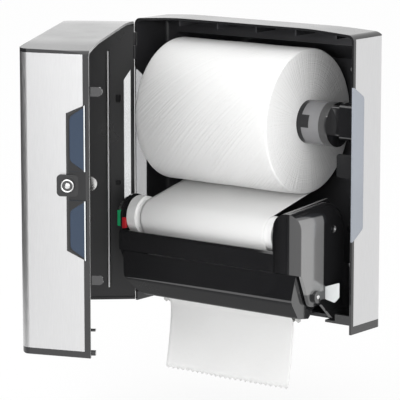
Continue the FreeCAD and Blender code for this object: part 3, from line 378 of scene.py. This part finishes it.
# how far a face looks the given way, and the places that tell faces apart
faceTest = {"leaning": 0.3, "flat": 0.9, "under": 0.2, "bayUp": 0.04, "bayFront": -0.12, "rimDeep": 0.004,
            "ribPlace": -0.1573, "ribHalf": 0.0006}


def facesInside(centre, normal):
    # a side wall, the top or the bottom, on the side turned towards the bay
    middle = (cadBox[0][2] + cadBox[1][2]) / 2 + faceTest["bayUp"]
    inwards = min(normal.x * math.copysign(1, centre.x), normal.z * math.copysign(1, centre.z - middle))
    return inwards < -faceTest["leaning"]


refinish("door_shell", innerBlack, lambda c, n: n.y > faceTest["leaning"] or facesInside(c, n), shut=True)
# the bay's inner faces get the paler black: painted light
refinish("housing_shell", bayBlackPaintedLight,
         lambda c, n: (n.y < -faceTest["leaning"] and c.y > faceTest["bayFront"]) or facesInside(c, n))
refinish("door_shell", rimGrey,
         lambda c, n: n.y > faceTest["flat"] and c.y > door["hinge"].y - faceTest["rimDeep"], shut=True)
# the inward rib face gets the painted highlight
refinish("door_shell", ribPaintedHighlight,
         lambda c, n: n.x > faceTest["flat"] and abs(c.x - faceTest["ribPlace"]) < faceTest["ribHalf"], shut=True)
refinish("roll_hub_right", innerBlack, lambda c, n: n.x > faceTest["flat"])
refinish("lever_bar", underBlack, lambda c, n: n.z < -faceTest["under"])
print("dispenser: finishes set")


# mesh helpers

tolerance = 1e-5


def objectFrom(bm, name, material):
    mesh = bpy.data.meshes.new(name)
    bm.to_mesh(mesh)
    bm.free()
    made = bpy.data.objects.new(name, mesh)
    bpy.context.scene.collection.objects.link(made)
    mesh.materials.append(material)
    return made


def finishPiece(bm, name, material, body, smooth=40):
    bmesh.ops.remove_doubles(bm, verts=bm.verts, dist=1e-6)
    bmesh.ops.recalc_face_normals(bm, faces=bm.faces)
    piece = objectFrom(bm, name, material)
    piece.data.shade_smooth()
    piece.data.set_sharp_from_angle(angle=math.radians(smooth))
    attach(piece, body)
    return piece


def closedLoop(bm, places):
    verts = [bm.verts.new(place) for place in places]
    for i, vert in enumerate(verts):
        bm.edges.new((vert, verts[(i + 1) % len(verts)]))
    return verts


# towel roll

towelRoll = {"bore": 0.0205, "edge": 0.0025, "edgeSteps": 4, "around": 160, "rings": 24,
             "dent": 0.00035, "dents": ((3, 22), (2, 41))}


def buildTowelRoll():
    bm = bmesh.new()
    low, high = rollBox[0][0], rollBox[1][0]
    profile = [(low, towelRoll["bore"]), (high, towelRoll["bore"]), (high, rollRadius), (low, rollRadius)]
    verts = closedLoop(bm, [(x, rollAxis[0], rollAxis[1] + r) for x, r in profile])
    bmesh.ops.bevel(bm, geom=verts[2:], offset=towelRoll["edge"], segments=towelRoll["edgeSteps"],
                    profile=0.5, affect="VERTICES", material=-1)
    # the long outer side gets rings, so that the paper can bulge a little
    outer = [e for e in bm.edges if all(v.co.z > rollAxis[1] + rollRadius - tolerance for v in e.verts)]
    bmesh.ops.subdivide_edges(bm, edges=outer, cuts=towelRoll["rings"])
    bmesh.ops.spin(bm, geom=bm.verts[:] + bm.edges[:], cent=(0, *rollAxis), axis=(1, 0, 0), angle=math.tau,
                   steps=towelRoll["around"], use_merge=True)
    for vert in bm.verts:
        across = Vector((0, vert.co.y - rollAxis[0], vert.co.z - rollAxis[1]))
        if across.length > rollRadius - towelRoll["edge"] / 2:
            angle = math.atan2(across.z, across.y)
            first, second = (math.sin(turns * angle + vert.co.x * along) for turns, along in towelRoll["dents"])
            vert.co -= across.normalized() * (towelRoll["dent"] * (1 + first * second))
    roll = finishPiece(bm, "towelRoll", rollPaper, "roll", 50)
    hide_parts("paper_roll")


# paper from the roll to the drum and out

towelSheet = {
    "thick": 0.0005, "thickShare": 0.7, "inset": 0.0008, "drumRadius": 0.0218, "drumGap": 0.0004,
    "rollGap": 0.0003, "leave": (-0.1238, -0.185), "bend": 0.01, "tailIn": 0.0005, "tailUp": 0.0035,
    "steps": (12, 16, 16, 20), "ripple": 0.0011, "wave": 7.5, "waveStart": 0.6, "fineShare": 0.5,
    "fineWave": 17, "fineSlant": 3, "tooth": 0.008, "toothDeep": 0.0025,
}


def around(angle, radius):
    return Vector((math.cos(angle) * radius, math.sin(angle) * radius))


def sheetLine():
    # middle line of the paper in the side view, read from the frame's own boxes
    rollMid, drumMid = Vector(rollAxis), Vector(sideMiddle(drumBox))
    half = towelSheet["thick"] / 2
    inner = towelSheet["drumRadius"] + towelSheet["drumGap"] + half
    outer = rollRadius + towelSheet["rollGap"] + half
    span = rollMid - drumMid
    upper = math.atan2(span.y, span.x) + math.acos((outer + inner) / span.length)
    leave = Vector(towelSheet["leave"])
    back = leave - drumMid
    lower = math.atan2(back.y, back.x) - math.acos(inner / back.length)
    if lower < 0:
        lower += math.tau
    toDrum, roundDrum, toEdge, hanging = towelSheet["steps"]
    start = rollMid - around(upper, outer)
    points = [start.lerp(drumMid + around(upper, inner), t / toDrum) for t in range(toDrum)]
    points += [drumMid + around(upper + (lower - upper) * t / roundDrum, inner) for t in range(roundDrum + 1)]
    last = points[-1]
    points += [last.lerp(leave, t / toEdge) for t in range(1, toEdge + 1)]
    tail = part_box("paper_tail")
    bottom = Vector((tail[0][1] + towelSheet["tailIn"], tail[0][2] + towelSheet["tailUp"]))
    turn = leave + (leave - last).normalized() * towelSheet["bend"]
    for t in range(1, hanging + 1):
        s = t / hanging
        points.append(leave * (1 - s) ** 2 + turn * 2 * s * (1 - s) + bottom * s * s)
    return points


def buildTowelSheet():
    line = sheetLine()
    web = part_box("paper_web")
    left, right = web[0][0] + towelSheet["inset"], web[1][0] - towelSheet["inset"]
    count = round(2 * (right - left) / towelSheet["tooth"])
    bm = bmesh.new()
    row = [bm.verts.new((left + (right - left) * i / count, *line[0])) for i in range(count + 1)]
    current = [bm.edges.new(pair) for pair in zip(row, row[1:])]
    for before, after in zip(line, line[1:]):
        made = bmesh.ops.extrude_edge_only(bm, edges=current)["geom"]
        verts = [g for g in made if isinstance(g, bmesh.types.BMVert)]
        current = [g for g in made if isinstance(g, bmesh.types.BMEdge) and all(v in verts for v in g.verts)]
        bmesh.ops.translate(bm, verts=verts, vec=(0, *(after - before)))
    # the hanging end ripples, and its lower edge is toothed
    leaveZ, bottomZ = towelSheet["leave"][1], line[-1].y
    for vert in bm.verts:
        if vert.co.z < leaveZ:
            deep = (leaveZ - vert.co.z) / (leaveZ - bottomZ)
            across = (vert.co.x - left) / (right - left)
            fine = math.sin(across * towelSheet["fineWave"] + deep * towelSheet["fineSlant"])
            wave = math.sin(across * towelSheet["wave"] + towelSheet["waveStart"]) + towelSheet["fineShare"] * fine
            vert.co.y += towelSheet["ripple"] * deep * wave
    for vert in bm.verts:
        if abs(vert.co.z - bottomZ) < tolerance:
            nearest = round((vert.co.x - left) / (right - left) * count)
            vert.co.z -= towelSheet["toothDeep"] * (nearest % 2)
    sheet = finishPiece(bm, "towelSheet", webPaper, "housing", 60)
    solid = sheet.modifiers.new("thickness", "SOLIDIFY")
    solid.thickness = towelSheet["thick"] * towelSheet["thickShare"]
    solid.offset = 0
    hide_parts("paper_web", "paper_tail")


buildTowelRoll()
buildTowelSheet()
print("dispenser: roll and paper made")


# thin black frames round the panes in the door's free side, with a clear edge on the hinge side

paneFrame = {
    "near": 0.0052, "far": 0.0263, "pane": 0.00147, "proud": 0.0003, "band": 0.0018, "nearBand": 0.3,
    "corner": 0.0045, "cornerSteps": 8, "cut": 0.0125, "startIn": 0.0005, "nearIn": 0.0024, "farIn": 0.0008,
    "edge": 0.001, "edgeOut": 0.0003, "edgeIn": 0.001,
    "upper": (0.0417, 0.1223, 0.1085), "lower": (0.0058, -0.0673, -0.0537),
}


def sideOfDoor(deep, high, proud):
    # a place on the door's free side, the door being open as it stands
    lean = math.hypot(1, door["lean"])
    place = Vector((door["side"] - door["lean"] * deep, door["hinge"].y - deep, high))
    return turned(place + Vector((1, -door["lean"], 0)) / lean * proud, -door["swing"])


def layOnPane(bm, faces, proud):
    # the flat shape gets its thickness and goes to its place on the pane
    raised = set(bmesh.ops.extrude_face_region(bm, geom=faces)["geom"])
    for vert in bm.verts:
        vert.co = sideOfDoor(vert.co.x, vert.co.z, paneFrame["pane"] + (proud if vert in raised else 0))


def buildPaneFrame(name, straight, nearEnd, farEnd):
    near, far, band = paneFrame["near"], paneFrame["far"], paneFrame["band"]
    side = math.copysign(1, nearEnd - straight)
    bandNear, bandFar = near + band * paneFrame["nearBand"], far - band
    outside = [(near, straight), (near, nearEnd), (far, farEnd), (far, straight)]
    inside = [(bandNear, straight + side * paneFrame["startIn"]), (bandNear, nearEnd - side * paneFrame["nearIn"]),
              (bandFar, farEnd - side * paneFrame["farIn"]), (bandFar, straight + side * paneFrame["cut"])]
    bm = bmesh.new()
    closedLoop(bm, [(deep, 0, high) for deep, high in outside])
    verts = closedLoop(bm, [(deep, 0, high) for deep, high in inside])
    bmesh.ops.bevel(bm, geom=verts[2:], offset=paneFrame["corner"], segments=paneFrame["cornerSteps"], profile=0.5,
                    affect="VERTICES", material=-1)
    bmesh.ops.triangle_fill(bm, use_beauty=True, edges=bm.edges[:])
    layOnPane(bm, bm.faces[:], paneFrame["proud"])
    finishPiece(bm, name, innerBlack, "door", 30)
    edgeNear, edgeFar = near - paneFrame["edgeOut"], near + paneFrame["edge"]
    edge = [(edgeNear, straight), (edgeNear, nearEnd), (edgeFar, nearEnd - side * paneFrame["edgeIn"]),
            (edgeFar, straight)]
    bm = bmesh.new()
    face = bm.faces.new([bm.verts.new((deep, 0, high)) for deep, high in edge])
    layOnPane(bm, [face], 2 * paneFrame["proud"])
    finishPiece(bm, name + "Edge", frostedClear, "door", 30)


buildPaneFrame("paneFrameUpper", *paneFrame["upper"])
buildPaneFrame("paneFrameLower", *paneFrame["lower"])
print("dispenser: pane frames made")


# small bright trim: ring and key cap of the lock, pivot cap, screw in the gearbox

trim = {"lockRing": 0.0072, "lockWire": 0.0011, "lockCap": 0.0036, "pivotCap": 0.0028, "capHigh": 0.0012,
        "screw": 0.0026, "screwHigh": 0.001, "screwDeep": 0.004, "facing": 0.9, "level": 0.0002}


def endFace(nodeName, towards, below=0.0):
    # the flat end that looks towards the given way, at a depth below the farthest one
    faces = [f for f in nodes[nodeName].data.polygons if f.normal.dot(towards) > trim["facing"]]
    reach = max(f.center.dot(towards) for f in faces) - below
    flat = [f for f in faces if abs(f.center.dot(towards) - reach) < trim["level"]]
    area = sum(f.area for f in flat)
    return sum((f.center * f.area for f in flat), Vector()) / area, flat[0].normal.copy()


def standOn(bm, centre, normal):
    turn = normal.to_track_quat("Z", "Y").to_matrix().to_4x4()
    bmesh.ops.transform(bm, matrix=Matrix.Translation(centre) @ turn, verts=bm.verts)


def wireRing(name, centre, normal, radius, wire, material, body, slot):
    bm = bmesh.new()
    place = Matrix.Translation((radius, 0, 0)) @ Matrix.Rotation(math.pi / 2, 4, "X")
    section = bmesh.ops.create_circle(bm, segments=12, radius=wire, matrix=place)
    bmesh.ops.spin(bm, geom=section["verts"] + bm.edges[:], cent=(0, 0, 0), axis=(0, 0, 1), angle=math.tau,
                   steps=40, use_merge=True)
    standOn(bm, centre, normal)
    finishPiece(bm, name, material, body)


def domeCap(name, centre, normal, radius, high, material, body, slot):
    bm = bmesh.new()
    bmesh.ops.create_uvsphere(bm, u_segments=28, v_segments=14, radius=radius)
    bmesh.ops.scale(bm, vec=(1, 1, high / radius), verts=bm.verts)
    standOn(bm, centre, normal)
    finishPiece(bm, name, material, body)


lockEnd = endFace("lock_cylinder", Matrix.Rotation(-door["swing"], 3, "Z") @ Vector((1, 0, 0)))
wireRing("lockRing", *lockEnd, trim["lockRing"], trim["lockWire"], lockChrome, "lock", "lock_chrome")
domeCap("lockCap", *lockEnd, trim["lockCap"], trim["capHigh"], lockChrome, "lock", "lock_chrome")
pivotEnd = endFace("lever_pin_right", Vector((1, 0, 0)))
domeCap("pivotCap", *pivotEnd, trim["pivotCap"], trim["capHigh"], lockChrome, "housing", "bright_steel")
screwFloor = endFace("gearbox_case", Vector((1, 0, 0)), trim["screwDeep"])
domeCap("recessScrew", *screwFloor, trim["screw"], trim["screwHigh"], lockChrome, "housing", "bright_steel")


# painted shade on the right hub: a dark band next to the roll and a dark notch, as shares of its length and half
# angles in degrees

hub = {"lift": 0.00015, "tilt": 10, "gap": 0.0002, "band": 0.2, "bandHalf": 70, "notch": 0.35, "notchHalf": 17}
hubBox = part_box("roll_hub_right")
hubStart, hubLong = rollBox[1][0], hubBox[1][0] - rollBox[1][0]


def hubShadePatch(name, start, long, half):
    # a dark patch of painted shade that lies on the front of the hub
    radius = (hubBox[1][2] - hubBox[0][2]) / 2 + hub["lift"]
    tilt = math.radians(hub["tilt"])
    front = Vector((0, -math.cos(tilt), math.sin(tilt))) * radius
    low = Matrix.Rotation(-math.radians(half), 3, "X") @ front
    bm = bmesh.new()
    verts = [bm.verts.new((x, rollAxis[0] + low.y, rollAxis[1] + low.z)) for x in (start, start + long)]
    bmesh.ops.spin(bm, geom=verts + [bm.edges.new(verts)], cent=(0, *rollAxis), axis=(1, 0, 0),
                   angle=math.radians(2 * half), steps=half)
    finishPiece(bm, name, innerBlack, "roll", 60)


hubShadePatch("hubShadeBand", hubStart + hub["gap"], hubLong * hub["band"], hub["bandHalf"])
hubShadePatch("hubNotchShade", hubStart + hubLong * hub["band"], hubLong * hub["notch"], hub["notchHalf"])
print("dispenser: trim made")


# room, light and camera

room = {"floorDrop": 0.05, "floorSize": 60, "paper": (0.93, 0.93, 0.93), "rough": 0.8, "worldLight": 0.98,
        "shadow": 0.16}
card = {"line": [(-0.22, -1.1), (-1.0, -0.6), (-1.1, 0.5)], "high": 1.1, "foot": 0.002,
        "colour": (0.012, 0.012, 0.012), "rough": 0.9}


def seenDirectly(tree):
    # one where the camera looks, straight or by way of metal and glass
    path = tree.nodes.new("ShaderNodeLightPath")
    total = path.outputs["Is Camera Ray"]
    for ray in ("Is Glossy Ray", "Is Transmission Ray"):
        total = maths(tree, "MAXIMUM", total, path.outputs[ray])
    return total


def buildFloor():
    bm = bmesh.new()
    bmesh.ops.create_grid(bm, x_segments=2, y_segments=2, size=room["floorSize"] / 2)
    bmesh.ops.translate(bm, verts=bm.verts, vec=(0, 0, cadBox[0][2] - room["floorDrop"]))
    material, tree, shader = newMaterial("paleFloor", room["paper"], room["rough"])
    # seen directly, the floor is the white of the page with only a soft shadow on it
    share = maths(tree, "MULTIPLY", seenDirectly(tree), 1 - room["shadow"])
    glow = tree.nodes.new("ShaderNodeEmission")
    glow.inputs["Strength"].default_value = 1.0
    mix = tree.nodes.new("ShaderNodeMixShader")
    tree.links.new(share, mix.inputs["Fac"])
    tree.links.new(shader.outputs[0], mix.inputs[1])
    tree.links.new(glow.outputs[0], mix.inputs[2])
    tree.links.new(mix.outputs[0], tree.nodes["Material Output"].inputs["Surface"])
    floor = objectFrom(bm, "floor", material)


def lightRoom():
    # white page to the camera, metal and glass; the even light on the object is set apart
    world = bpy.data.worlds.new("studio")
    bpy.context.scene.world = world
    world.use_nodes = True
    tree = world.node_tree
    background = tree.nodes["Background"]
    background.inputs["Color"].default_value = (1, 1, 1, 1)
    level = spread(tree, seenDirectly(tree), room["worldLight"], 1.0)
    tree.links.new(level, background.inputs["Strength"])


def standCard():
    # seen only in reflections: keeps the black front dark and shades the steel's corner
    bm = bmesh.new()
    foot = cadBox[0][2] - room["floorDrop"] + card["foot"]
    verts = [bm.verts.new((x, y, foot)) for x, y in card["line"]]
    edges = [bm.edges.new(pair) for pair in zip(verts, verts[1:])]
    made = bmesh.ops.extrude_edge_only(bm, edges=edges)["geom"]
    raised = [g for g in made if isinstance(g, bmesh.types.BMVert)]
    bmesh.ops.translate(bm, verts=raised, vec=(0, 0, card["high"]))
    board = objectFrom(bm, "darkCard", newMaterial("cardBlack", card["colour"], card["rough"])[0])
    board.visible_camera = board.visible_diffuse = board.visible_shadow = board.visible_transmission = False


# place, aim, width and height in metres, and power in watts
lamps = {
    "leftSoft": ((-1.6, -1.9, 1.0), (-0.05, -0.15, 0.0), (1.2, 1.6), 14),
    "frontSoft": ((0.9, -2.6, 0.5), (0.0, -0.15, 0.0), (1.4, 1.2), 20),
    "rightSoft": ((1.9, -1.2, 0.9), (0.1, -0.1, 0.0), (0.9, 1.5), 8),
    "topSoft": ((0.1, -0.6, 1.9), (0.0, -0.15, 0.0), (1.6, 1.2), 2),
}


def softLamp(name, place, target, size, power):
    light = bpy.data.lights.new(name, "AREA")
    light.shape = "RECTANGLE"
    light.size, light.size_y = size
    light.energy = power
    lamp = bpy.data.objects.new(name, light)
    lamp.location = place
    lamp.rotation_euler = (Vector(target) - Vector(place)).to_track_quat("-Z", "Y").to_euler()
    bpy.context.scene.collection.objects.link(lamp)


# long lens, looking down on the open side from the right; angles in degrees, focal length in pixels
view = {"place": (1.970, -2.776, 0.549), "yaw": 37.533, "pitch": 10.028, "focalPixels": 2587.7, "frame": 400,
        "sensor": 36.0, "clip": (0.05, 100)}


def placeCamera():
    camera = bpy.data.cameras.new("camera")
    camera.sensor_width = view["sensor"]
    camera.lens = view["focalPixels"] / view["frame"] * view["sensor"]
    camera.clip_start, camera.clip_end = view["clip"]
    eye = bpy.data.objects.new("camera", camera)
    eye.location = view["place"]
    eye.rotation_euler = (math.radians(90 - view["pitch"]), 0, math.radians(view["yaw"]))
    bpy.context.scene.collection.objects.link(eye)
    bpy.context.scene.camera = eye


buildFloor()
lightRoom()
standCard()
for lampName, lampValues in lamps.items():
    softLamp(lampName, *lampValues)
placeCamera()
bpy.context.scene.view_settings.view_transform = "Standard"
bpy.context.view_layer.update()
print("dispenser: scene ready")
